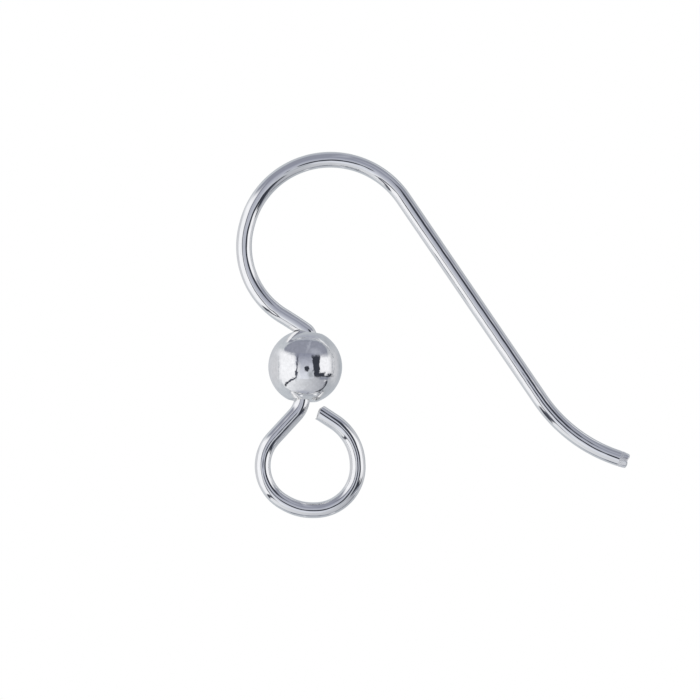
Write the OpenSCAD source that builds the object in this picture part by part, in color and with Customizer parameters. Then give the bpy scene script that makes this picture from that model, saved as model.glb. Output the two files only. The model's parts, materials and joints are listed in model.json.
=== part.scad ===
// French hook ear wire with a ball bead, lying on its side
// Sizes are in millimetres and directions in degrees, counted left round from the right, in the wire's own plane

/* [Wire] */
// Diameter of the wire
wire_d = 0.64; // [0.5:0.01:0.82]
// Lean of the straight stem inside the bead, to the right of upright
stem_lean = 5.5; // [0:0.5:12]
// Rounding of the free tip's edge
tip_round = 0.1; // [0.04:0.01:0.2]
// Slant of the cut at the loop's end, away from square
cut_slant = 15; // [0:1:30]

/* [Hook] */
// Inner radius of the tight neck bend over the bead
neck_in_r = 0.18; // [0.1:0.01:0.4]
// Direction of the wire after the neck bend
neck_dir = 149; // [135:0.5:160]
// Straight stretch between the neck bend and the side bend
neck_len = 0.88; // [0.4:0.02:2]
// Inner radius of the hook's side, above the neck
side_in_r = 2.95; // [2:0.05:4]
// Direction of the wire where the side runs into the crown
side_dir = 75; // [60:0.5:120]
// Clear width of the hook's crown, which hangs in the ear
crown_in_d = 6.48; // [4:0.01:10]
// Direction of the straight leg behind the ear
leg_dir = -55.8; // [-70:0.2:-45]
// Length of the straight leg
leg_len = 9.88; // [5:0.02:16]
// Outer radius of the soft bend before the tip
flick_out_r = 6.38; // [3:0.02:12]
// Direction of the tip
tip_dir = -19; // [-35:0.5:0]
// Straight stretch at the tip
tip_len = 0.55; // [0.4:0.05:2]

/* [Loop] */
// Inner radius of the soft bend under the bead
drop_in_r = 0.85; // [0.4:0.01:1.5]
// Direction of the wire as it enters the loop
drop_dir = 227.3; // [215:0.1:240]
// Clear width of the loop that a drop hangs in
loop_in_d = 3.16; // [2:0.02:5]
// Space between the bead and the middle of the loop's cut end
bead_to_end = 0.4; // [0.36:0.01:0.8]
// Distance from the stem's line to the middle of the loop's cut end
stem_to_end = 0.7; // [0.66:0.01:1.2]

/* [Bead] */
// Diameter of the bead
bead_d = 3; // [2.5:0.1:4]
// Thickness of the bead's wall
bead_wall = 0.3; // [0.2:0.01:0.4]
// Play between the wire and the bead's bore, all round
bore_play = 0.1; // [0.05:0.01:0.14]
// Radius that the flared mouth of the bore adds to the bore
mouth_flare = 0.2; // [0.12:0.01:0.24]
// Depth of the flared mouth
mouth_depth = 0.16; // [0.1:0.01:0.22]
// Gap between the bead's rim and the underside of the wire over it
rim_gap = 0.03; // [0.02:0.01:0.1]
// How far inside the bead's outline the bend towards the loop starts
drop_depth = 0.22; // [0:0.01:0.3]

/* [Hidden] */
$fn = 48;
wire_r = wire_d / 2;
bead_r = bead_d / 2;
stem_dir = 90 - stem_lean;
bore_r = wire_r + bore_play;
mouth_r = bore_r + mouth_flare;
mouth_z = sqrt(bead_r * bead_r - mouth_r * mouth_r);

// The neck's middle line keeps its distance from the rim of the bead's mouth
neck_turn = neck_dir - stem_dir;
neck_r = neck_in_r + wire_r;
neck_corner = mouth_z + (wire_r + rim_gap - mouth_r * cos(neck_turn)) / sin(neck_turn);
neck_start = neck_corner - neck_r * tan(neck_turn / 2);

// A bend is a hair fuller than the straight wire, which reaches a little way into it and ends inside the metal
bend_swell = 0.005;
sink = 0.03;
// The least straight wire between two bends
seam_len = 0.1;

// Bends of the hook, from the stem to the tip: straight before, radius, direction after
hook_bends = [
  [0, neck_r, neck_dir],
  [neck_len, side_in_r + wire_r, side_dir],
  [seam_len, crown_in_d / 2 + wire_r, leg_dir],
  [leg_len, flick_out_r - wire_r, tip_dir]
];

// The hand-turned loop is a little out of round: share of its mean radius, direction after
loop_r = loop_in_d / 2 + wire_r;
loop_turns = [
  [0.88, 330],
  [1.13, 361],
  [0.935, 452],
  [1.09, 507]
];
// Share of the loop's mean radius that runs straight into it
loop_entry = 0.69;

// Bends of the loop, from the stem to its last bend
drop_start = bead_r - drop_depth;
loop_bends = [
  [0, drop_in_r + wire_r, drop_dir],
  for (i = [0 : len(loop_turns) - 1])
    [i == 0 ? loop_entry * loop_r : seam_len, loop_turns[i][0] * loop_r, loop_turns[i][1]]
];

// A place on the wire is its x, its y and its direction there
function go(at, length) = [at[0] + length * cos(at[2]), at[1] + length * sin(at[2]), at[2]];
function bend_side(at, dir) = sign(dir - at[2]);
function bend_hub(at, r, dir) =
  [at[0] - bend_side(at, dir) * r * sin(at[2]), at[1] + bend_side(at, dir) * r * cos(at[2])];
function bend(at, r, dir) =
  let (hub = bend_hub(at, r, dir), side = bend_side(at, dir))
  [hub[0] + side * r * sin(dir), hub[1] - side * r * cos(dir), dir];
function follow(rows, at, i = 0) =
  i == len(rows) ? [at] :
  concat([at], follow(rows, bend(go(at, rows[i][0]), rows[i][1], rows[i][2]), i + 1));

hook_places = follow(hook_bends, go([0, 0, stem_dir], neck_start));
loop_places = follow(loop_bends, go([0, 0, stem_dir + 180], drop_start));
tip_start = hook_places[len(hook_bends)];
tip_end = go(tip_start, tip_len);
end_start = loop_places[len(loop_bends)];

// The loop's end runs straight until it comes as near to the bead or to the stem as it may
end_dir = [cos(end_start[2]), sin(end_start[2])];
end_at = [end_start[0], end_start[1]];
end_along = end_at * end_dir;
end_reach = end_along * end_along - end_at * end_at + pow(bead_r + bead_to_end, 2);
stem_side = [sin(stem_dir), -cos(stem_dir)];
len_to_bead = end_reach > 0 ? -end_along - sqrt(end_reach) : -end_along;
len_to_stem = (stem_to_end - end_at * stem_side) / (end_dir * stem_side);
end_len = max(wire_r, min(len_to_bead, len_to_stem));
end_end = go(end_start, end_len);

// The ear wire rests on the bead, the tip and the crown, so its plane tilts about the line from tip to crown
crown_row = 2;
crown_r = hook_bends[crown_row][1];
crown_hub = bend_hub(go(hook_places[crown_row], hook_bends[crown_row][0]), crown_r, leg_dir);
hub_to_tip = [tip_end[0] - crown_hub[0], tip_end[1] - crown_hub[1]];
low_dir = atan2(hub_to_tip[1], hub_to_tip[0]) + acos(crown_r / norm(hub_to_tip));
low_reach = tip_end[0] * cos(low_dir) + tip_end[1] * sin(low_dir);
rest_tilt = asin((bead_r - wire_r) / low_reach);

// A point or direction of the wire's plane as it lies at rest
function lie(x, y) =
  let (along = x * cos(low_dir) + y * sin(low_dir), across = y * cos(low_dir) - x * sin(low_dir))
  [
    along * cos(rest_tilt) * cos(low_dir) - across * sin(low_dir),
    along * cos(rest_tilt) * sin(low_dir) + across * cos(low_dir),
    -along * sin(rest_tilt)
  ];

// Places along the bends, close enough together to find how far the wire reaches
reach_steps = 24;
function along_bends(rows, places) = [
  for (i = [0 : len(rows) - 1])
    let (from = go(places[i], rows[i][0]), dir = rows[i][2])
    for (k = [0 : reach_steps])
      bend(from, rows[i][1], from[2] + (dir - from[2]) * (k == 0 ? 0.001 : k / reach_steps))
];
reached = concat(along_bends(hook_bends, hook_places), along_bends(loop_bends, loop_places), [tip_end, end_end]);
function wire_reach(axis, side) = [
  for (at = reached)
    let (middle = lie(at[0], at[1])[axis], slope = lie(cos(at[2]), sin(at[2]))[axis])
    middle + side * wire_r * sqrt(1 - slope * slope)
];
function box_middle(axis) =
  (max(concat(wire_reach(axis, 1), [bead_r])) + min(concat(wire_reach(axis, -1), [-bead_r]))) / 2;
rest_place = [-box_middle(0), -box_middle(1), bead_r];

// Puts what is made in the wire's plane, about the middle of the bead, where it lies at rest
module at_rest() {
  translate(rest_place) rotate(a = rest_tilt, v = [-sin(low_dir), cos(low_dir), 0]) children();
}

// Straight wire along X, which reaches into the bends at both its ends
module straight_wire(length) {
  translate([-sink, 0, 0]) rotate([0, 90, 0]) cylinder(r = wire_r, h = length + 2 * sink);
}

// Wire that sets off along X and turns left, or right where the turn is negative
module bent_wire(r, turn) {
  mirror([0, turn < 0 ? 1 : 0, 0]) translate([0, r, 0]) rotate([0, 0, -90])
    rotate_extrude(angle = abs(turn)) translate([r, 0]) circle(r = wire_r + bend_swell);
}

// Moves on to the end of such a bend
module after_bend(r, turn) {
  hub_y = sign(turn) * r;
  translate([0, hub_y, 0]) rotate([0, 0, turn]) translate([0, -hub_y, 0]) children();
}

// The bends one after another, each from where the last one ends, and then what ends the wire
module wire_along(rows, dir, i = 0) {
  if (i == len(rows)) children();
  else {
    turn = rows[i][2] - dir;
    if (rows[i][0] > 0) straight_wire(rows[i][0]);
    translate([rows[i][0], 0, 0]) {
      bent_wire(rows[i][1], turn);
      after_bend(rows[i][1], turn) wire_along(rows, rows[i][2], i + 1) children();
    }
  }
}

// The free tip, with its edge rounded so that it slips through the ear
module tip() {
  flat_r = wire_r - tip_round;
  side_len = tip_len - tip_round + sink;
  translate([-sink, 0, 0]) rotate([0, 90, 0])
    rotate_extrude() {
      square([wire_r, side_len]);
      square([flat_r, tip_len + sink]);
      translate([flat_r, side_len]) circle(r = tip_round);
    }
}

// The loop's end, nipped off at a slant
module cut_end() {
  nip = 4 * wire_d;
  difference() {
    straight_wire(end_len + wire_d);
    translate([end_len, 0, 0]) rotate([0, 0, cut_slant]) translate([0, -nip / 2, -nip / 2]) cube(nip);
  }
}

module ear_wire() {
  color([0.8, 0.81, 0.83]) at_rest() rotate([0, 0, stem_dir]) {
    translate([-drop_start, 0, 0]) straight_wire(drop_start + neck_start);
    translate([neck_start, 0, 0]) wire_along(hook_bends, stem_dir) tip();
    translate([-drop_start, 0, 0]) rotate([0, 0, 180]) wire_along(loop_bends, stem_dir + 180) cut_end();
  }
}

// Flared mouth of the bore, where the wire bends away over the rim
module mouth() {
  translate([0, 0, mouth_z - mouth_depth])
    cylinder(r1 = bore_r, r2 = mouth_r + mouth_flare, h = 2 * mouth_depth);
}

module bead() {
  color([0.83, 0.84, 0.86]) at_rest() rotate([0, 90, stem_dir])
    difference() {
      sphere(r = bead_r);
      sphere(r = bead_r - bead_wall);
      cylinder(r = bore_r, h = 2 * bead_d, center = true);
      mouth();
      mirror([0, 0, 1]) mouth();
    }
}

ear_wire();
bead();
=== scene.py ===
"""Ear wire: a bent silver wire and a turned silver bead, on a white floor in a small light tent."""

import json
import math

import bpy
from bpy.props import FloatProperty, FloatVectorProperty, IntProperty, PointerProperty
from mathutils import Matrix, Vector
from mathutils.kdtree import KDTree


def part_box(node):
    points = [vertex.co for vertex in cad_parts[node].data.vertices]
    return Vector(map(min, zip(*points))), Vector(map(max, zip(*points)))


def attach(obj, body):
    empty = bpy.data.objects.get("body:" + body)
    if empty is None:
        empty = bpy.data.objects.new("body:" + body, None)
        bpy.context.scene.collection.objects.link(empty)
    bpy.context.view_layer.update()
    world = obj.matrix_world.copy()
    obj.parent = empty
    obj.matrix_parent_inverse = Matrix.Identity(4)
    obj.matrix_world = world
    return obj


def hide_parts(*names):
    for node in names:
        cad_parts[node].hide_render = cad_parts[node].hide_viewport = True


bl_info = {
    "name": "Ear Wire",
    "version": (1, 0, 0),
    "blender": (4, 5, 0),
    "location": "3D View > Sidebar > Ear Wire",
    "description": "Bends the wire, turns the bead and sets the light tent of a fish-hook ear wire",
    "category": "Add Mesh",
}

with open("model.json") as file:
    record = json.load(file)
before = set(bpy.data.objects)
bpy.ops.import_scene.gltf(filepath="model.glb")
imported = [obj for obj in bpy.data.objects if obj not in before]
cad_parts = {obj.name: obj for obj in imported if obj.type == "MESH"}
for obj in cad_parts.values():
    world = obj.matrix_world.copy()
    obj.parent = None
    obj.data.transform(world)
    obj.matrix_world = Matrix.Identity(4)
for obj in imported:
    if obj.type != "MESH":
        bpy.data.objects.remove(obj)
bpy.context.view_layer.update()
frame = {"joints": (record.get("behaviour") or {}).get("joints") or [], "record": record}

MM = 0.001
# Points nearer to each other than this count as one, in metres
DETAIL = 1e-6


def mounts():
    """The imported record's mounts by name."""
    return {mount["name"]: mount for mount in frame["record"]["mounts"]}


def bead_centre():
    """Middle of the bead, which is also the place that the wire's bends are counted from."""
    low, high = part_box("bead")
    return (low + high) / 2


def bead_radius():
    """Half the bead's largest size."""
    low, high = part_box("bead")
    return max(high - low) / 2


def stem_axis():
    """Direction of the straight stem that the bead turns on."""
    return Vector(frame["joints"][0]["axis"]).normalized()


def wire_plane_normal():
    """Upward normal of the plane that the wire is bent in."""
    return Vector(mounts()["loop"]["axis"]).normalized()


def wire_radius():
    """Radius of the wire, which the tip's mount gives."""
    return mounts()["tip"]["dims"]["r_mm"] * MM


def at_rest(lean):
    """Matrix from the wire's own plane, its stem leaning right of its Y axis, to where the wire lies."""
    up = wire_plane_normal()
    stem = stem_axis()
    stem = (stem - up * stem.dot(up)).normalized()
    across = stem.cross(up)
    own_y = stem * math.cos(lean) - across * math.sin(lean)
    own_x = own_y.cross(up)
    turned = Matrix((own_x, own_y, up)).transposed().to_4x4()
    return Matrix.Translation(bead_centre()) @ turned


# Sizes and colours

def length(name, text, value):
    """A setting in metres, given in millimetres."""
    return FloatProperty(name=name, description=text, default=value * MM, unit="LENGTH", precision=5)


def angle(name, text, degrees):
    """A setting in radians, given in degrees."""
    return FloatProperty(name=name, description=text, default=math.radians(degrees), unit="ROTATION")


def colour(name, text, value):
    """A colour setting."""
    return FloatVectorProperty(name=name, description=text, default=value, subtype="COLOR", min=0, max=1)


def share(name, text, value):
    """A setting from nothing to all."""
    return FloatProperty(name=name, description=text, default=value, min=0, max=1, subtype="FACTOR")


class HookSizes(bpy.types.PropertyGroup):
    """The wire over the bead: neck, side, crown, leg and tip"""
    stem_lean: angle("Stem lean", "Lean of the bead's bore to the right of upright", 5.5)
    stem_shift: length("Stem shift", "How far right of the bore's middle the wire leaves the bead", 0.07)
    neck_start: length("Neck start", "From the bead's middle to the neck bend", 1.12)
    neck_radius: length("Neck radius", "Radius of the neck bend at the wire's middle", 0.4)
    neck_heading: angle("Neck heading", "Direction of the wire after the neck's tight bend", 145)
    neck_end: FloatVectorProperty(
        name="Neck end", description="Where the neck runs into the hook's side, from the bead's middle",
        default=(-0.885 * MM, 2.067 * MM), size=2, unit="LENGTH", precision=5)
    neck_end_heading: angle("Neck end heading", "Direction of the wire where the neck ends", 149)
    side_radius: length("Side radius", "Radius of the hook's side", 3.27)
    side_heading: angle("Side heading", "Direction of the wire where the crown begins", 75)
    crown_radius: length("Crown radius", "Radius of the crown", 3.56)
    leg_heading: angle("Leg heading", "Direction of the straight leg", -55.8)
    leg_length: length("Leg length", "Length of the straight leg", 9.88)
    flick_radius: length("Flick radius", "Radius of the soft bend before the tip", 6.06)
    tip_heading: angle("Tip heading", "Direction of the tip", -19)
    tip_length: length("Tip length", "Straight wire at the tip", 0.55)
    tip_taper: angle("Tip taper", "Slope of the tip's ground shoulder", 5.5)
    tip_cone: length("Tip cone", "Length of the sloping part of the shoulder", 0.22)
    tip_round: length("Tip rounding", "Radius of the tip's edge", 0.075)
    tip_notch: length("Tip notch", "Depth of the notch that the cutter left across the tip's end", 0.035)
    tip_groove: length("Tip groove", "Depth of the ring that the grinding left", 0.009)


class LoopSizes(bpy.types.PropertyGroup):
    """The wire under the bead: the bend into the loop, the loop and its cut end"""
    drop_start: length("Drop start", "From the bead's middle to the bend into the loop", 1.28)
    drop_radius: length("Drop radius", "Radius of the bend into the loop", 1.17)
    drop_heading: angle("Drop heading", "Direction of the wire as it enters the loop", 227.3)
    entry: length("Entry", "Straight wire into the loop", 1.311)
    radius: length("Loop radius", "Mean radius of the loop at the wire's middle", 1.9)
    end_length: length("End length", "Straight wire before the cut", 0.756)
    cut_slant: angle("Cut slant", "Slant of the cut, away from square", 15)
    cut_round: length("Cut rounding", "Rounding of the cut's edge", 0.03)
    corner_start: length("Corner start", "From the wire's middle to the cut's worn corner", 0.11)
    corner_wear: angle("Corner wear", "Slope of the worn outer corner", 24)
    burr: length("Burr", "How far the cut's inner corner stands out", 0.04)


class BeadSizes(bpy.types.PropertyGroup):
    """The hollow ball bead"""
    wall: length("Wall", "Thickness of the bead's wall", 0.3)
    bore_play: length("Bore play", "Play between wire and bore, all round", 0.1)
    mouth_flare: length("Mouth flare", "Radius that the flared mouth adds to the bore", 0.2)
    mouth_depth: length("Mouth depth", "Depth of the flared mouth", 0.16)
    lip: length("Lip", "Rounding of the mouth's rim", 0.1)


class SilverLooks(bpy.types.PropertyGroup):
    """The polished silver of wire and bead"""
    silver: colour("Silver", "Colour of clean silver", (0.94, 0.935, 0.925))
    wire_roughness: share("Wire roughness", "Roughness of the drawn wire", 0.04)
    bead_roughness: share("Bead roughness", "Roughness of the polished bead", 0.035)
    ground_roughness: share("Ground roughness", "Roughness of the ground tip and the cut end", 0.65)
    wire_wave: length("Wire waves", "Height of the soft waves along the wire", 0.02)
    wire_line: length("Wire lines", "Height of the fine lines drawn along the wire", 0.003)
    bead_wave: length("Bead waves", "Height of the soft waves on the bead", 0.0038)
    bead_mark: length("Bead marks", "Height of the fine polishing marks on the bead", 0.0005)


class TentLooks(bpy.types.PropertyGroup):
    """The light tent that the silver mirrors, the floor and the camera"""
    white: colour("White", "The tent's bright sides", (0.95, 0.96, 1.0))
    pale: colour("Pale", "The light round the bright sides", (0.625, 0.635, 0.67))
    roof_low: colour("Low roof", "The roof near the front", (0.77, 0.80, 0.88))
    roof_high: colour("High roof", "The roof near the back", (0.25, 0.265, 0.34))
    back: colour("Back", "The back wall", (0.285, 0.30, 0.365))
    back_lit: colour("Lit back", "The lit part of the back wall", (0.40, 0.42, 0.49))
    back_edge: colour("Back edge", "The edge of the back wall", (0.25, 0.27, 0.33))
    front_lit: colour("Lit front", "The front wall's lit side", (0.88, 0.90, 0.94))
    front_dim: colour("Dim front", "The front wall's dim side", (0.35, 0.365, 0.41))
    dark: colour("Dark", "The black gaps of the tent", (0.04, 0.045, 0.06))
    gap: colour("Gap", "The narrow gap left of the roof", (0.075, 0.08, 0.105))
    ground_lit: colour("Lit ground", "The ground on the left", (0.585, 0.62, 0.665))
    ground_dim: colour("Dim ground", "The ground on the right", (0.405, 0.43, 0.47))
    floor: colour("Floor", "The white floor as the camera sees it", (1.0, 1.0, 1.0))
    cloth: share("Cloth", "How uneven the tent's cloth is", 0.2)
    view_width: length("View width", "Width of the picture at the bead", 28.375)
    view_height: FloatProperty(
        name="Camera height", description="Camera above the floor", default=1.0, unit="LENGTH")
    picture: IntProperty(name="Picture", description="Width of the picture in pixels", default=700)
    bead_right: FloatProperty(
        name="Bead right", description="Pixels from the picture's left edge to the bead", default=305.2)
    bead_down: FloatProperty(
        name="Bead down", description="Pixels from the picture's top edge to the bead", default=366.8)


# Modelling by hand

BEND_STEP = math.radians(1.5)
FEWEST_BEND_STEPS = 4
SMOOTH_BELOW = math.radians(40)


def fresh_start():
    """Leaves object mode with nothing selected, so that the next operator acts on new work alone."""
    if bpy.context.object and bpy.context.object.mode != "OBJECT":
        bpy.ops.object.mode_set(mode="OBJECT")
    bpy.ops.object.select_all(action="DESELECT")


def name_piece(name):
    """Names what was just made, object and mesh alike."""
    piece = bpy.context.object
    piece.name = name
    piece.data.name = name
    return piece


def select_points(piece, wanted):
    """In edit mode, selects the points whose place passes the test."""
    bpy.ops.mesh.select_all(action="DESELECT")
    bpy.ops.object.mode_set(mode="OBJECT")
    for point in piece.data.vertices:
        point.select = wanted(point.co)
    bpy.ops.object.mode_set(mode="EDIT")


def step_on(offset, scale=1.0, middle=None):
    """Extrudes what is selected by an offset, and then resizes it about its new middle."""
    bpy.ops.mesh.extrude_region_move(TRANSFORM_OT_translate={"value": offset})
    if scale != 1.0:
        bpy.ops.transform.resize(value=(scale, scale, scale), center_override=middle)


def way_along(heading):
    """Direction of a heading, in the wire's own plane."""
    return Vector((math.cos(heading), math.sin(heading), 0))


def way_left(heading):
    """Direction to the left of a heading, in the wire's own plane."""
    return Vector((-math.sin(heading), math.cos(heading), 0))


class WireEnd:
    """The end of a wire as it is bent: its place in the wire's plane, and its heading."""

    def __init__(self, place, heading):
        self.place = Vector(place).to_3d()
        self.heading = heading
        self.trail = [(self.place.copy(), heading)]

    def along(self):
        return way_along(self.heading)

    def left(self):
        return way_left(self.heading)

    def note(self):
        self.trail.append((self.place.copy(), self.heading))

    def straight(self, distance, steps=1):
        """Draws the selected ring out straight."""
        for _ in range(steps):
            step = self.along() * (distance / steps)
            step_on(step)
            self.place += step
            self.note()

    def bend(self, radius, heading, step=BEND_STEP):
        """Turns the selected ring about a hub at its side until the wire points the new way."""
        turn = heading - self.heading
        side = math.copysign(1, turn)
        hub = self.place + self.left() * radius * side
        steps = max(FEWEST_BEND_STEPS, math.ceil(abs(turn) / step))
        bpy.ops.mesh.spin(steps=steps, angle=-turn, center=hub, axis=(0, 0, 1))
        arm = self.place - hub
        start = self.heading
        for count in range(1, steps + 1):
            part = turn * count / steps
            self.place = hub + Matrix.Rotation(part, 3, "Z") @ arm
            self.heading = start + part
            self.note()


def mark_ground(piece, wanted):
    """Stores which points the file or the nippers left matt."""
    bpy.ops.object.mode_set(mode="OBJECT")
    marks = piece.data.attributes.get("ground") or piece.data.attributes.new("ground", "FLOAT", "POINT")
    for point, mark in zip(piece.data.vertices, marks.data):
        if wanted(point.co):
            mark.value = 1
    bpy.ops.object.mode_set(mode="EDIT")


def ring_at(end, radius, sides):
    """A ring of points round the wire's end, square to it."""
    fresh_start()
    bpy.ops.mesh.primitive_circle_add(
        vertices=sides, radius=radius, fill_type="NOTHING", location=end.place,
        rotation=(0, math.pi / 2, end.heading))
    bpy.ops.object.transform_apply(location=True, rotation=True, scale=True)
    piece = bpy.context.object
    bpy.ops.object.mode_set(mode="EDIT")
    bpy.ops.mesh.select_all(action="SELECT")
    return piece


def finish_piece(piece, place, body, node):
    """Joins what meets, faces it outwards, lays the piece where it rests and ties it to its body."""
    bpy.ops.mesh.select_all(action="SELECT")
    bpy.ops.mesh.remove_doubles(threshold=DETAIL)
    bpy.ops.mesh.normals_make_consistent(inside=False)
    bpy.ops.object.mode_set(mode="OBJECT")
    piece.matrix_world = place
    bpy.ops.object.transform_apply(location=True, rotation=True, scale=True)
    bpy.ops.object.shade_smooth_by_angle(angle=SMOOTH_BELOW)
    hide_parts(node)
    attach(piece, body)


# The wire

# How many sides the wire has, and into how many steps its stretches are divided
SIDES = 48
STEM_STEPS = 6
LEG_STEPS = 24
TIP_STEPS = 3
ENTRY_STEPS = 4
END_STEPS = 4
NECK_STEP = math.radians(3)
EASING_STEPS = 6
# A hair past the wire's side, when its points are picked
PAST_SIDE = 1.01
LOOP_TURNS = (
    # share of the loop's mean radius, heading after in degrees
    (0.88, 330),
    (1.13, 361),
    (0.935, 452),
    (1.09, 507),
)
# The least straight wire between two bends
SEAM = 0.1 * MM
TIP_RING = (
    # millimetres past the straight wire, share of the ring's depth
    (0.015, 0),
    (0.04, 1),
    (0.065, 1),
    (0.09, 0),
    (0.1, 0),
)
# Steps of the tip's rounded edge, and the rings on its flat face as shares of the face's radius
ROUNDING_STEPS = 8
FACE_RINGS = (0.75, 0.5, 0.25)
# The tip's notch: how far back it takes hold, in roundings, and its half width and soft reach, in wire radii
NOTCH_DEPTH = 0.6
NOTCH_WIDTH = 0.1
NOTCH_REACH = 0.35
# The loop's cut: steps of its rounding, and the matt strip beside it and the burr's root, in roundings
CUT_SEGMENTS = 3
CUT_MATT = 0.5
BURR_ROOT = 1.5
# How far the burr leans to the wire's left for each step along it
BURR_LEAN = 0.3
# Points whose shading turns away from the wire's side by more than this belong to an edge
EDGE_TURN = math.radians(25)
SHOWN_RISES = (
    # millimetres along the wire from its stem's foot, loop first, and the rise that the silver shows
    (-11.8, 0.05),
    (-11.3, 0.09),
    (-10.8, 0.11),
    (-10.3, 0.075),
    (-9.4, 0.06),
    (-8, 0.022),
    (-7, 0.012),
    (-6.5, -0.018),
    (-4.1, -0.022),
    (-3.5, 0.025),
    (-3, 0.025),
    (-2.6, 0.04),
    (-2.2, 0.045),
    (-0.9, 0.035),
    (-0.6, 0.06),
    (0, 0.06),
    (2.5, -0.03),
    (3.95, -0.035),
    (4.15, -0.09),
    (4.3, -0.09),
    (4.5, -0.055),
    (7.9, -0.045),
    (9.7, -0.085),
    (11.1, -0.08),
    (12.3, -0.02),
    (14.6, -0.015),
    (15.1, 0.06),
    (15.9, 0.067),
    (16.8, 0.035),
    (24.3, 0.03),
    (25, 0),
    (26.8, -0.03),
)


def bend_neck(end, sizes):
    """Over the bead's rim in one tight bend, which eases out until it meets the hook's side."""
    end.bend(sizes.neck_radius, sizes.neck_heading, NECK_STEP)
    reach = (Vector(sizes.neck_end).to_3d() - end.place).length
    easing = sizes.neck_end_heading - sizes.neck_heading
    radius = reach / (2 * math.sin(easing / 2))
    end.bend(radius, sizes.neck_end_heading, easing / EASING_STEPS)


def bend_hook(end, sizes):
    """From the neck over the crown and down the leg to the soft bend before the tip."""
    end.bend(sizes.side_radius, sizes.side_heading)
    end.straight(SEAM)
    end.bend(sizes.crown_radius, sizes.leg_heading)
    end.straight(sizes.leg_length, LEG_STEPS)
    end.bend(sizes.flick_radius, sizes.tip_heading)


def tip_profile(sizes, radius):
    """Distances past the straight wire, and radii there, over the tip's ring, shoulder and edge."""
    profile = [(gone * MM, radius - part * sizes.tip_groove) for gone, part in TIP_RING]
    slope = sizes.tip_taper
    cone_end = profile[-1][0] + sizes.tip_cone
    cone_radius = radius - sizes.tip_cone * math.tan(slope)
    profile.append((cone_end, cone_radius))
    middle = cone_end - sizes.tip_round * math.sin(slope)
    flat = cone_radius - sizes.tip_round * math.cos(slope)
    for count in range(1, ROUNDING_STEPS + 1):
        turned = slope + (math.pi / 2 - slope) * count / ROUNDING_STEPS
        gone = middle + sizes.tip_round * math.sin(turned)
        profile.append((gone, flat + sizes.tip_round * math.cos(turned)))
    return profile


def draw_tip(end, profile, radius):
    """Draws the selected ring out over the tip's profile and closes it with a flat face."""
    start = end.place.copy()
    now = radius
    for gone, wanted in profile:
        step = start + end.along() * gone - end.place
        end.place += step
        step_on(step, wanted / now, end.place)
        now = wanted
    flat = now
    for part in FACE_RINGS:
        step_on((0, 0, 0), flat * part / now, end.place)
        now = flat * part
    bpy.ops.mesh.edge_face_add()
    end.note()


def press_notch(piece, end, sizes, radius):
    """Presses the cutter's notch across the tip's flat face."""
    def on_notch(place):
        arm = place - end.place
        at_face = arm.dot(end.along()) > -sizes.tip_round * NOTCH_DEPTH
        return at_face and abs(arm.dot(end.left())) < radius * NOTCH_WIDTH

    select_points(piece, on_notch)
    bpy.ops.transform.translate(
        value=end.along() * -sizes.tip_notch, use_proportional_edit=True,
        proportional_edit_falloff="SMOOTH", proportional_size=radius * NOTCH_REACH)


def round_tip(piece, end, sizes, radius):
    """Grinds a shoulder and a rounded edge on the free tip, and presses the cutter's notch across it."""
    profile = tip_profile(sizes, radius)
    end.straight(sizes.tip_length - profile[-1][0], TIP_STEPS)
    start = end.place.copy()
    draw_tip(end, profile, radius)
    press_notch(piece, end, sizes, radius)

    def on_shoulder(place):
        arm = place - end.place
        past_start = (place - start).dot(end.along()) > DETAIL
        return arm.length < radius * 2 and past_start and arm.dot(end.along()) < -sizes.tip_round

    mark_ground(piece, on_shoulder)


def bend_loop(end, sizes):
    """From the stem's foot round the loop."""
    end.bend(sizes.drop_radius, sizes.drop_heading)
    end.straight(sizes.entry, ENTRY_STEPS)
    for count, (part, heading) in enumerate(LOOP_TURNS):
        if count:
            end.straight(SEAM)
        end.bend(part * sizes.radius, math.radians(heading))


def cut_end(piece, end, sizes, radius):
    """Nips the loop's end off at a slant, wears its outer corner and leaves a burr on the inner one."""
    start = end.place.copy()
    past = sizes.end_length + radius
    end.straight(past, END_STEPS)
    along = end.along()
    left = end.left()
    slant = math.tan(sizes.cut_slant)
    cut = start + along * sizes.end_length
    ridge = cut + (along * slant - left) * sizes.corner_start
    planes = (
        (cut, Matrix.Rotation(sizes.cut_slant, 3, "Z") @ along),
        (ridge, Matrix.Rotation(-sizes.corner_wear, 3, "Z") @ along),
    )

    def on_last_stretch(place):
        arm = place - start
        return DETAIL < arm.dot(along) < past + DETAIL and abs(arm.dot(left)) < PAST_SIDE * radius

    def by_cut(place, reach):
        return on_last_stretch(place) and any(
            abs((place - point).dot(facing)) < reach for point, facing in planes)

    for point, facing in planes:
        select_points(piece, on_last_stretch)
        bpy.ops.mesh.bisect(
            plane_co=point, plane_no=facing, use_fill=True, clear_outer=True, threshold=DETAIL)
    select_points(piece, lambda place: by_cut(place, DETAIL))
    bpy.ops.mesh.bevel(affect="EDGES", offset=sizes.cut_round, segments=CUT_SEGMENTS)
    mark_ground(piece, lambda place: by_cut(place, sizes.cut_round * CUT_MATT))
    corner = cut + (left - along * slant) * radius
    select_points(piece, lambda place: (place - corner).length < sizes.cut_round * BURR_ROOT)
    bpy.ops.transform.translate(value=(along + left * BURR_LEAN) * sizes.burr)


def places_along(trails):
    """Each place that a wire's ends were drawn through, its heading, and its distance along the wire."""
    places = []
    for trail, sign in trails:
        gone = 0.0
        last = trail[0][0]
        for place, heading in trail:
            gone += (place - last).length
            last = place
            places.append((place, heading, sign * gone))
    return places


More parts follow.
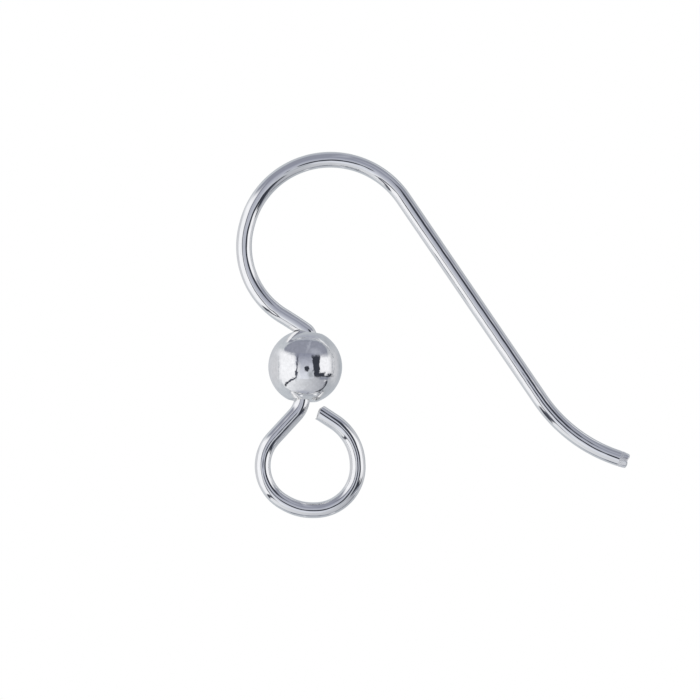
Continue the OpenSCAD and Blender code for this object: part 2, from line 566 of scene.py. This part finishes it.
def store_unbent(piece, trails):
    """Stores each point's heading and its place on the unbent wire, for patterns that run along it."""
    places = places_along(trails)
    tree = KDTree(len(places))
    for count, (place, _, _) in enumerate(places):
        tree.insert(place, count)
    tree.balance()
    piece.data.attributes.new("unbent", "FLOAT_VECTOR", "POINT")
    piece.data.attributes.new("heading", "FLOAT", "POINT")
    unbent = piece.data.attributes["unbent"].data
    headings = piece.data.attributes["heading"].data
    for point, entry, way in zip(piece.data.vertices, unbent, headings):
        _, count, _ = tree.find(Vector((point.co.x, point.co.y, 0)))
        place, heading, gone = places[count]
        arm = point.co - place
        side = 1 if gone >= 0 else -1
        along = side * arm.dot(way_along(heading))
        across = side * arm.dot(way_left(heading))
        entry.vector = (gone + along, across, point.co.z)
        way.value = heading


def shown_rise(gone):
    """Rise that the silver shows at a place along the wire."""
    for (start, low), (end, high) in zip(SHOWN_RISES, SHOWN_RISES[1:]):
        if gone / MM < end:
            break
    part = min(max((gone / MM - start) / (end - start), 0), 1)
    return low + (high - low) * part


def turn_to_rise(way, rise):
    """Turn that takes a direction to the given rise."""
    level = Vector((way.x, way.y, 0)).length
    return way.rotation_difference(Vector((way.x, way.y, level * rise)))


def ease_shading(piece, lying, radius):
    """Shades the wire's side as truly round, with a hand-bent wire's slight rises, and keeps its shape."""
    mesh = piece.data
    turns = []
    sides = []
    for heading, unbent in zip(mesh.attributes["heading"].data, mesh.attributes["unbent"].data):
        gone, across, above = unbent.vector
        turns.append(turn_to_rise(lying @ way_along(heading.value), shown_rise(gone)))
        side = way_left(heading.value) * (across if gone >= 0 else -across)
        side.z = above
        sides.append(lying @ side)
    normals = []
    for corner, own in zip(mesh.loops, mesh.corner_normals):
        side = sides[corner.vertex_index]
        facing = side.normalized()
        on_side = side.length > radius - DETAIL and facing.dot(own.vector) > math.cos(EDGE_TURN)
        normals.append(turns[corner.vertex_index] @ (facing if on_side else own.vector))
    mesh.normals_split_custom_set(normals)


class EARWIRE_OT_bend_wire(bpy.types.Operator):
    """Bend the wire: hook, neck, stem, loop, rounded tip and cut end"""
    bl_idname = "earwire.bend_wire"
    bl_label = "Bend the Wire"

    def execute(self, context):
        hook = context.scene.earwire_hook
        loop = context.scene.earwire_loop
        radius = wire_radius()
        stem = math.pi / 2 - hook.stem_lean
        up = Vector((math.cos(stem), math.sin(stem)))
        right = Vector((math.sin(stem), -math.cos(stem)))
        stem_foot = up * -loop.drop_start
        stem_run = up * hook.neck_start + right * hook.stem_shift - stem_foot
        top = WireEnd(stem_foot, math.atan2(stem_run.y, stem_run.x))
        piece = ring_at(top, radius, SIDES)
        top.straight(stem_run.length, STEM_STEPS)
        bend_neck(top, hook)
        bend_hook(top, hook)
        round_tip(piece, top, hook, radius)
        foot = WireEnd(stem_foot, stem + math.pi)
        stem_way = stem_run.to_3d().normalized()

        def on_first_ring(place):
            arm = place - foot.place
            return arm.length < PAST_SIDE * radius and abs(arm.dot(stem_way)) < DETAIL

        select_points(piece, on_first_ring)
        bend_loop(foot, loop)
        cut_end(piece, foot, loop, radius)
        bpy.ops.object.mode_set(mode="OBJECT")
        store_unbent(piece, ((top.trail, 1), (foot.trail, -1)))
        bpy.ops.object.mode_set(mode="EDIT")
        name_piece("silver_wire")
        lying = at_rest(hook.stem_lean)
        finish_piece(piece, lying, "wire", "ear_wire")
        ease_shading(piece, lying.to_3x3(), radius)
        piece.data.materials.clear()
        piece.data.materials.append(wire_silver(context.scene.earwire_silver))
        return {"FINISHED"}


# The bead

OUTSIDE_STEPS = 72
INSIDE_STEPS = 40
LIP_SEGMENTS = 8
BEAD_SIDES = 144


def draw_arc(turn, steps):
    """Draws the selected point round the bead's middle, in the profile's plane."""
    bpy.ops.mesh.spin(steps=steps, angle=turn, center=(0, 0, 0), axis=(0, 1, 0))


class EARWIRE_OT_turn_bead(bpy.types.Operator):
    """Turn the hollow bead with its bore and two flared mouths from a drawn profile"""
    bl_idname = "earwire.turn_bead"
    bl_label = "Turn the Bead"

    def execute(self, context):
        sizes = context.scene.earwire_bead
        outer = bead_radius()
        inner = outer - sizes.wall
        bore = wire_radius() + sizes.bore_play
        mouth = bore + sizes.mouth_flare
        rim_z = math.sqrt(outer ** 2 - mouth ** 2)
        flare_z = rim_z - sizes.mouth_depth
        inner_z = math.sqrt(inner ** 2 - bore ** 2)
        fresh_start()
        # The profile starts from one point, a small ring merged at its middle
        bpy.ops.mesh.primitive_circle_add(vertices=3, radius=bore, fill_type="NOTHING")
        piece = bpy.context.object
        bpy.ops.object.mode_set(mode="EDIT")
        bpy.ops.mesh.select_all(action="SELECT")
        bpy.ops.mesh.merge(type="CENTER")
        bpy.ops.transform.translate(value=(bore, 0, inner_z))
        step_on((0, 0, flare_z - inner_z))
        step_on((sizes.mouth_flare, 0, sizes.mouth_depth))
        draw_arc(2 * math.atan2(mouth, rim_z) - math.pi, OUTSIDE_STEPS)
        step_on((-sizes.mouth_flare, 0, sizes.mouth_depth))
        step_on((0, 0, flare_z - inner_z))
        draw_arc(math.pi - 2 * math.atan2(bore, inner_z), INSIDE_STEPS)
        bpy.ops.mesh.select_all(action="SELECT")
        bpy.ops.mesh.remove_doubles(threshold=DETAIL)
        select_points(piece, lambda place: max(abs(place.x - mouth), abs(abs(place.z) - rim_z)) < DETAIL)
        bpy.ops.mesh.bevel(affect="VERTICES", offset=sizes.lip, segments=LIP_SEGMENTS)
        bpy.ops.mesh.select_all(action="SELECT")
        bpy.ops.mesh.spin(
            steps=BEAD_SIDES, angle=2 * math.pi, center=(0, 0, 0), axis=(0, 0, 1), use_auto_merge=True)
        name_piece("silver_bead")
        turn = Vector((0, 0, 1)).rotation_difference(stem_axis()).to_matrix().to_4x4()
        finish_piece(piece, Matrix.Translation(bead_centre()) @ turn, "ball", "bead")
        piece.data.materials.clear()
        piece.data.materials.append(bead_silver(context.scene.earwire_silver))
        return {"FINISHED"}


# Nodes

def new_material(name):
    """A material with nodes, and its node tree."""
    material = bpy.data.materials.new(name)
    material.use_nodes = True
    return material, material.node_tree


def group_node(tree, group, label):
    """A node that stands for a group."""
    node = tree.nodes.new("ShaderNodeGroup")
    node.node_tree = group
    node.label = label
    return node


def socket(tree, name, way, kind="NodeSocketFloat"):
    """Gives a group an input or an output."""
    tree.interface.new_socket(name=name, in_out=way, socket_type=kind)


def maths(tree, operation, first, second=None, third=None):
    """A math node with its inputs linked or set, and its output."""
    node = tree.nodes.new("ShaderNodeMath")
    node.operation = operation
    for slot, value in zip(node.inputs, (first, second, third)):
        if value is None:
            continue
        if isinstance(value, (int, float)):
            slot.default_value = value
        else:
            tree.links.new(value, slot)
    return node.outputs[0]


def blend_colours(tree, mask, under, over):
    """Lays one colour over another by a mask."""
    node = tree.nodes.new("ShaderNodeMix")
    node.data_type = "RGBA"
    for slot, value in (("Factor", mask), ("A", under), ("B", over)):
        entry = next(s for s in node.inputs if s.name == slot and s.enabled)
        if isinstance(value, (tuple, list)):
            entry.default_value = (*value, 1)
        else:
            tree.links.new(value, entry)
    return next(s for s in node.outputs if s.enabled)


# Silver

WAVE_DETAIL = 1
MARK_DETAIL = 2
# Share of the roughness that is left where the marks are faintest
LEAST_DULL = 0.5


def relief_group():
    """Height of a polished surface at a place on it: soft waves, and finer marks drawn out one way."""
    tree = bpy.data.node_groups.new("polished relief", "ShaderNodeTree")
    socket(tree, "Place", "INPUT", "NodeSocketVector")
    for name in ("Wave Density", "Wave Height", "Mark Density", "Mark Height", "Mark Stretch"):
        socket(tree, name, "INPUT")
    socket(tree, "Height", "OUTPUT")
    socket(tree, "Wear", "OUTPUT")
    given = tree.nodes.new("NodeGroupInput").outputs
    end = tree.nodes.new("NodeGroupOutput")
    waves = tree.nodes.new("ShaderNodeTexNoise")
    waves.inputs["Detail"].default_value = WAVE_DETAIL
    tree.links.new(given["Place"], waves.inputs["Vector"])
    tree.links.new(given["Wave Density"], waves.inputs["Scale"])
    squeeze = tree.nodes.new("ShaderNodeCombineXYZ")
    tree.links.new(maths(tree, "DIVIDE", 1.0, given["Mark Stretch"]), squeeze.inputs["X"])
    squeeze.inputs["Y"].default_value = 1
    squeeze.inputs["Z"].default_value = 1
    drawn = tree.nodes.new("ShaderNodeVectorMath")
    drawn.operation = "MULTIPLY"
    tree.links.new(given["Place"], drawn.inputs[0])
    tree.links.new(squeeze.outputs[0], drawn.inputs[1])
    marks = tree.nodes.new("ShaderNodeTexNoise")
    marks.inputs["Detail"].default_value = MARK_DETAIL
    tree.links.new(drawn.outputs[0], marks.inputs["Vector"])
    tree.links.new(given["Mark Density"], marks.inputs["Scale"])
    wave = maths(tree, "MULTIPLY", waves.outputs["Fac"], given["Wave Height"])
    height = maths(tree, "MULTIPLY_ADD", marks.outputs["Fac"], given["Mark Height"], wave)
    tree.links.new(height, end.inputs["Height"])
    tree.links.new(marks.outputs["Fac"], end.inputs["Wear"])
    return tree


def relief():
    """The relief group, built once for both pieces."""
    return bpy.data.node_groups.get("polished relief") or relief_group()


def silver(name, looks, roughness, place_node, values):
    """Polished silver, dulled a little by the marks of its making, and matt where it is ground."""
    material, tree = new_material(name)
    shader = tree.nodes["Principled BSDF"]
    shader.inputs["Base Color"].default_value = (*looks.silver, 1)
    shader.inputs["Metallic"].default_value = 1
    place = place_node(tree)
    marks = group_node(tree, relief(), "polished relief")
    for slot, value in values:
        marks.inputs[slot].default_value = value
    tree.links.new(place, marks.inputs["Place"])
    bump = tree.nodes.new("ShaderNodeBump")
    bump.inputs["Distance"].default_value = 1
    bump.inputs["Strength"].default_value = 1
    tree.links.new(marks.outputs["Height"], bump.inputs["Height"])
    tree.links.new(bump.outputs["Normal"], shader.inputs["Normal"])
    dull = maths(tree, "MULTIPLY_ADD", marks.outputs["Wear"], roughness, roughness * LEAST_DULL)
    ground = tree.nodes.new("ShaderNodeAttribute")
    ground.attribute_name = "ground"
    matt = maths(tree, "MULTIPLY", ground.outputs["Fac"], looks.ground_roughness)
    tree.links.new(maths(tree, "MAXIMUM", dull, matt), shader.inputs["Roughness"])
    return material


def wire_silver(looks):
    """Drawn wire: fine lines along it over soft waves."""
    return silver("drawn silver", looks, looks.wire_roughness, unbent_place, (
        ("Wave Density", 1200), ("Wave Height", looks.wire_wave), ("Mark Density", 9000),
        ("Mark Height", looks.wire_line), ("Mark Stretch", 60)))


def bead_silver(looks):
    """Mirror-polished bead: soft waves, and marks that run towards its bore."""
    return silver("polished silver", looks, looks.bead_roughness, bead_place, (
        ("Wave Density", 7000), ("Wave Height", looks.bead_wave), ("Mark Density", 9000),
        ("Mark Height", looks.bead_mark), ("Mark Stretch", 4)))


def unbent_place(tree):
    """The place on the wire as if it were still straight, with its length along X."""
    node = tree.nodes.new("ShaderNodeAttribute")
    node.attribute_name = "unbent"
    return node.outputs["Vector"]


def bead_place(tree):
    """The place on the bead, from its middle and in line with its bore."""
    node = tree.nodes.new("ShaderNodeTexCoord")
    centred = tree.nodes.new("ShaderNodeMapping")
    centred.vector_type = "TEXTURE"
    centred.inputs["Location"].default_value = bead_centre()
    turn = Vector((1, 0, 0)).rotation_difference(stem_axis())
    centred.inputs["Rotation"].default_value = turn.to_euler()
    tree.links.new(node.outputs["Object"], centred.inputs["Vector"])
    return centred.outputs["Vector"]


# The light tent

PANELS = (
    # what it is, colour at its start and end, middle x, y, half length, half width, turn in degrees,
    # squareness and soft edge, with lengths in ball radii as the mirror ball shows them
    ("left glow", "pale", "pale", -0.82, -0.02, 0.20, 0.50, 0, 2, 0.35),
    ("right glow", "pale", "pale", 0.75, 0.03, 0.13, 0.42, 0, 2.5, 0.16),
    ("right fold", "ground_dim", "ground_dim", 0.735, 0.10, 0.22, 0.008, 94, 4, 0.02),
    ("over the back wall", "back_lit", "back_lit", 0.06, 0.80, 0.30, 0.07, 0, 2, 0.10),
    ("streak above the back wall", "white", "white", 0.50, 0.645, 0.15, 0.018, -42, 2, 0.03),
    ("back wall's edge", "back_edge", "back_edge", 0.005, 0.30, 0.605, 0.43, 0, 2.4, 0.03),
    ("back wall", "back", "back", 0.0, 0.29, 0.585, 0.415, 0, 2.4, 0.06),
    ("back wall's lit fold", "back_lit", "back_lit", 0.09, 0.54, 0.15, 0.03, 72, 2, 0.06),
    ("back wall's lit patch", "back_lit", "back_lit", 0.27, 0.41, 0.13, 0.08, 0, 2, 0.12),
    ("front wall's edge", "dark", "dark", 0.005, -0.345, 0.60, 0.41, 0, 2.1, 0.02),
    ("front wall", "front_lit", "front_dim", -0.03, -0.317, 0.60, 0.41, 0, 2.1, 0.03),
    ("front wall's foot", "back_lit", "back_lit", -0.08, -0.69, 0.26, 0.05, 0, 2, 0.10),
    ("front sill", "back", "back", -0.03, -0.745, 0.25, 0.02, -3, 3, 0.04),
    ("front sill's gap", "gap", "gap", -0.06, -0.722, 0.22, 0.009, -5, 3, 0.02),
    ("front sill's left knot", "gap", "gap", -0.235, -0.735, 0.032, 0.024, 0, 2, 0.03),
    ("front sill's right knot", "gap", "gap", 0.075, -0.725, 0.032, 0.022, 0, 2, 0.03),
    ("left side", "white", "white", -0.48, -0.03, 0.225, 0.35, 0, 5, 0.14),
    ("left fold", "ground_dim", "ground_dim", -0.715, -0.03, 0.26, 0.006, 90, 4, 0.02),
    ("left side's upper corner", "white", "white", -0.52, 0.30, 0.20, 0.09, -28, 3, 0.14),
    ("right side", "white", "white", 0.53, 0.06, 0.155, 0.235, 0, 5, 0.12),
    ("roof", "roof_low", "roof_high", -0.01, 0.02, 0.34, 0.245, 90, 12, 0.03),
    ("roof's dim corner", "ground_dim", "ground_dim", 0.15, -0.20, 0.11, 0.07, 90, 3, 0.12),
    ("roof's lit edge", "front_lit", "pale", -0.175, -0.12, 0.18, 0.03, 90, 3, 0.05),
    ("left gap", "gap", "gap", -0.225, -0.01, 0.29, 0.025, 86, 10, 0.02),
    ("left gap's foot", "gap", "gap", -0.375, -0.36, 0.165, 0.026, 31, 8, 0.02),
    ("left knot", "dark", "dark", -0.47, -0.43, 0.045, 0.034, 31, 2, 0.03),
    ("left toe", "dark", "dark", -0.52, -0.48, 0.034, 0.045, 0, 2, 0.03),
    ("right gap's slant", "dark", "dark", 0.275, 0.02, 0.29, 0.065, 97, 12, 0.02),
    ("right gap", "dark", "dark", 0.335, 0.02, 0.29, 0.055, 90, 12, 0.02),
    ("right gap's foot", "dark", "dark", 0.455, -0.215, 0.10, 0.055, 0, 4, 0.03),
    ("right gap's sole", "dark", "dark", 0.58, -0.263, 0.13, 0.014, 0, 6, 0.02),
    ("right gap's toe", "dark", "dark", 0.665, -0.225, 0.062, 0.034, 24, 2, 0.03),
    ("band under the right gap", "back_edge", "back_edge", 0.52, -0.312, 0.15, 0.028, 0, 4, 0.03),
    ("notch", "white", "white", 0.565, -0.18, 0.02, 0.05, -20, 2, 0.03),
    ("patch under the band", "white", "white", 0.55, -0.375, 0.04, 0.018, 30, 2, 0.03),
    ("spot on the sill", "white", "white", 0.27, -0.75, 0.04, 0.024, 10, 2, 0.03),
    ("spot under the sill", "white", "white", -0.10, -0.785, 0.025, 0.02, 0, 2, 0.03),
    ("lens", "dark", "dark", 0.042, -0.052, 0.068, 0.082, 0, 2, 0.03),
)
PANEL_VALUES = ("Middle X", "Middle Y", "Half Length", "Half Width", "Turn", "Squareness", "Soft Edge")
# Keeps straight down, which a mirror ball spreads over its whole rim, from dividing by nothing
LEAST_RAISED = 0.0001
CLOTH_SCALE = 9
CLOTH_DETAIL = 5
# The stage, in metres
FLOOR_WIDTH = 1.0
CLIP_NEAR = 0.1
CLIP_FAR = 10


def mirror_ball_group():
    """Turns a direction into where a mirror ball seen from above shows it, in ball radii."""
    tree = bpy.data.node_groups.new("mirror ball", "ShaderNodeTree")
    socket(tree, "Direction", "INPUT", "NodeSocketVector")
    socket(tree, "X", "OUTPUT")
    socket(tree, "Y", "OUTPUT")
    start = tree.nodes.new("NodeGroupInput")
    end = tree.nodes.new("NodeGroupOutput")
    parts = tree.nodes.new("ShaderNodeSeparateXYZ")
    tree.links.new(start.outputs["Direction"], parts.inputs[0])
    raised = maths(tree, "MAXIMUM", maths(tree, "ADD", parts.outputs["Z"], 1.0), LEAST_RAISED)
    size = maths(tree, "SQRT", maths(tree, "MULTIPLY", raised, 2.0))
    tree.links.new(maths(tree, "DIVIDE", parts.outputs["X"], size), end.inputs["X"])
    tree.links.new(maths(tree, "DIVIDE", parts.outputs["Y"], size), end.inputs["Y"])
    return tree


def panel_group():
    """Mask of one soft-edged panel, round at squareness 2 and squarer above, and the share along it."""
    tree = bpy.data.node_groups.new("tent panel", "ShaderNodeTree")
    for name in ("X", "Y", *PANEL_VALUES):
        socket(tree, name, "INPUT")
    socket(tree, "Mask", "OUTPUT")
    socket(tree, "Share", "OUTPUT")
    given = tree.nodes.new("NodeGroupInput").outputs
    end = tree.nodes.new("NodeGroupOutput")
    x = maths(tree, "SUBTRACT", given["X"], given["Middle X"])
    y = maths(tree, "SUBTRACT", given["Y"], given["Middle Y"])
    cos = maths(tree, "COSINE", given["Turn"])
    sin = maths(tree, "SINE", given["Turn"])
    along = maths(tree, "ADD", maths(tree, "MULTIPLY", x, cos), maths(tree, "MULTIPLY", y, sin))
    across = maths(tree, "SUBTRACT", maths(tree, "MULTIPLY", y, cos), maths(tree, "MULTIPLY", x, sin))
    powers = []
    for place, half in ((along, "Half Length"), (across, "Half Width")):
        part = maths(tree, "DIVIDE", maths(tree, "ABSOLUTE", place), given[half])
        powers.append(maths(tree, "POWER", part, given["Squareness"]))
    root = maths(tree, "DIVIDE", 1.0, given["Squareness"])
    reach = maths(tree, "POWER", maths(tree, "ADD", *powers), root)
    least = maths(tree, "MINIMUM", given["Half Length"], given["Half Width"])
    past = maths(tree, "MULTIPLY", maths(tree, "SUBTRACT", reach, 1.0), least)
    fade = tree.nodes.new("ShaderNodeMapRange")
    fade.interpolation_type = "SMOOTHSTEP"
    half_edge = maths(tree, "MULTIPLY", given["Soft Edge"], 0.5)
    tree.links.new(past, fade.inputs["Value"])
    tree.links.new(maths(tree, "MULTIPLY", half_edge, -1.0), fade.inputs["From Min"])
    tree.links.new(half_edge, fade.inputs["From Max"])
    fade.inputs["To Min"].default_value = 1
    fade.inputs["To Max"].default_value = 0
    tree.links.new(fade.outputs["Result"], end.inputs["Mask"])
    passed = maths(tree, "MULTIPLY_ADD", maths(tree, "DIVIDE", along, given["Half Length"]), 0.5, 0.5)
    tree.links.new(maths(tree, "MINIMUM", maths(tree, "MAXIMUM", passed, 0.0), 1.0), end.inputs["Share"])
    return tree


def lay_panels(tree, ball, looks, seen):
    """Lays the tent's panels over what is seen behind them, one after another."""
    panel_tree = panel_group()
    for name, first, last, x, y, half_length, half_width, turn, squareness, soft in PANELS:
        panel = group_node(tree, panel_tree, name)
        values = (x, y, half_length, half_width, math.radians(turn), squareness, soft)
        for slot, value in zip(PANEL_VALUES, values):
            panel.inputs[slot].default_value = value
        tree.links.new(ball.outputs["X"], panel.inputs["X"])
        tree.links.new(ball.outputs["Y"], panel.inputs["Y"])
        tone = tuple(getattr(looks, first))
        if last != first:
            tone = blend_colours(tree, panel.outputs["Share"], tone, tuple(getattr(looks, last)))
        seen = blend_colours(tree, panel.outputs["Mask"], seen, tone)
    return seen


def shade_cloth(tree, way, looks, seen):
    """Makes the tent's cloth a little uneven."""
    cloth = tree.nodes.new("ShaderNodeTexNoise")
    cloth.inputs["Scale"].default_value = CLOTH_SCALE
    cloth.inputs["Detail"].default_value = CLOTH_DETAIL
    tree.links.new(way, cloth.inputs["Vector"])
    shade = maths(tree, "MULTIPLY_ADD", cloth.outputs["Fac"], 2 * looks.cloth, 1 - looks.cloth)
    scale = tree.nodes.new("ShaderNodeVectorMath")
    scale.operation = "SCALE"
    tree.links.new(seen, scale.inputs[0])
    tree.links.new(shade, scale.inputs["Scale"])
    return scale.outputs[0]


def light_tent(looks):
    """The world: a light tent that the silver mirrors, which the camera itself sees as plain white."""
    world = bpy.data.worlds.new("light tent")
    bpy.context.scene.world = world
    world.use_nodes = True
    tree = world.node_tree
    tree.nodes.clear()
    way = tree.nodes.new("ShaderNodeTexCoord").outputs["Generated"]
    ball = group_node(tree, mirror_ball_group(), "mirror ball")
    tree.links.new(way, ball.inputs["Direction"])
    side = tree.nodes.new("ShaderNodeSeparateXYZ")
    tree.links.new(way, side.inputs[0])
    rightness = maths(tree, "MULTIPLY_ADD", side.outputs["X"], 0.5, 0.5)
    seen = blend_colours(tree, rightness, tuple(looks.ground_lit), tuple(looks.ground_dim))
    seen = lay_panels(tree, ball, looks, seen)
    seen = shade_cloth(tree, way, looks, seen)
    by_camera = tree.nodes.new("ShaderNodeLightPath").outputs["Is Camera Ray"]
    seen = blend_colours(tree, by_camera, seen, tuple(looks.floor))
    light = tree.nodes.new("ShaderNodeBackground")
    output = tree.nodes.new("ShaderNodeOutputWorld")
    tree.links.new(seen, light.inputs["Color"])
    tree.links.new(light.outputs[0], output.inputs["Surface"])


def white_floor(looks):
    """The floor under the ear wire, white to the camera and left out of the silver's reflections."""
    fresh_start()
    bpy.ops.mesh.primitive_plane_add(size=FLOOR_WIDTH)
    floor = name_piece("floor")
    floor.visible_glossy = False
    material, tree = new_material("white floor")
    tree.nodes.clear()
    light = tree.nodes.new("ShaderNodeEmission")
    light.inputs["Color"].default_value = (*looks.floor, 1)
    output = tree.nodes.new("ShaderNodeOutputMaterial")
    tree.links.new(light.outputs[0], output.inputs["Surface"])
    floor.data.materials.append(material)


def overhead_camera(looks):
    """A long lens straight above, with the bead at its place in the picture."""
    pixel = looks.view_width / looks.picture
    middle = bead_centre()
    middle.x += (looks.picture / 2 - looks.bead_right) * pixel
    middle.y -= (looks.picture / 2 - looks.bead_down) * pixel
    bpy.ops.object.camera_add(location=(middle.x, middle.y, looks.view_height), rotation=(0, 0, 0))
    camera = bpy.context.object
    camera.name = "overhead camera"
    distance = looks.view_height - bead_centre().z
    camera.data.lens = camera.data.sensor_width * distance / looks.view_width
    camera.data.clip_start = CLIP_NEAR
    camera.data.clip_end = CLIP_FAR
    bpy.context.scene.camera = camera


class EARWIRE_OT_set_stage(bpy.types.Operator):
    """Set the light tent, the white floor and the camera"""
    bl_idname = "earwire.set_stage"
    bl_label = "Set the Stage"

    def execute(self, context):
        looks = context.scene.earwire_tent
        light_tent(looks)
        white_floor(looks)
        overhead_camera(looks)
        context.scene.view_settings.view_transform = "Standard"
        return {"FINISHED"}


class EARWIRE_PT_panel(bpy.types.Panel):
    """Sizes, looks and steps of the ear wire"""
    bl_idname = "EARWIRE_PT_panel"
    bl_label = "Ear Wire"
    bl_space_type = "VIEW_3D"
    bl_region_type = "UI"
    bl_category = "Ear Wire"

    def draw(self, context):
        for title, name in GROUPS:
            box = self.layout.box()
            box.label(text=title)
            settings = getattr(context.scene, name)
            for entry in settings.bl_rna.properties:
                if entry.identifier not in ("rna_type", "name"):
                    box.prop(settings, entry.identifier)
        for step in OPERATORS:
            self.layout.operator(step.bl_idname)


GROUPS = (
    ("Hook", "earwire_hook"),
    ("Loop", "earwire_loop"),
    ("Bead", "earwire_bead"),
    ("Silver", "earwire_silver"),
    ("Light tent", "earwire_tent"),
)
SETTINGS = (HookSizes, LoopSizes, BeadSizes, SilverLooks, TentLooks)
OPERATORS = (EARWIRE_OT_bend_wire, EARWIRE_OT_turn_bead, EARWIRE_OT_set_stage)
CLASSES = (*SETTINGS, *OPERATORS, EARWIRE_PT_panel)


def register():
    for each in CLASSES:
        bpy.utils.register_class(each)
    for (_, name), settings in zip(GROUPS, SETTINGS):
        setattr(bpy.types.Scene, name, PointerProperty(type=settings))


def unregister():
    for _, name in GROUPS:
        delattr(bpy.types.Scene, name)
    for each in reversed(CLASSES):
        bpy.utils.unregister_class(each)


def main():
    register()
    bpy.ops.earwire.bend_wire()
    bpy.ops.earwire.turn_bead()
    bpy.ops.earwire.set_stage()


if __name__ == "__main__":
    main()
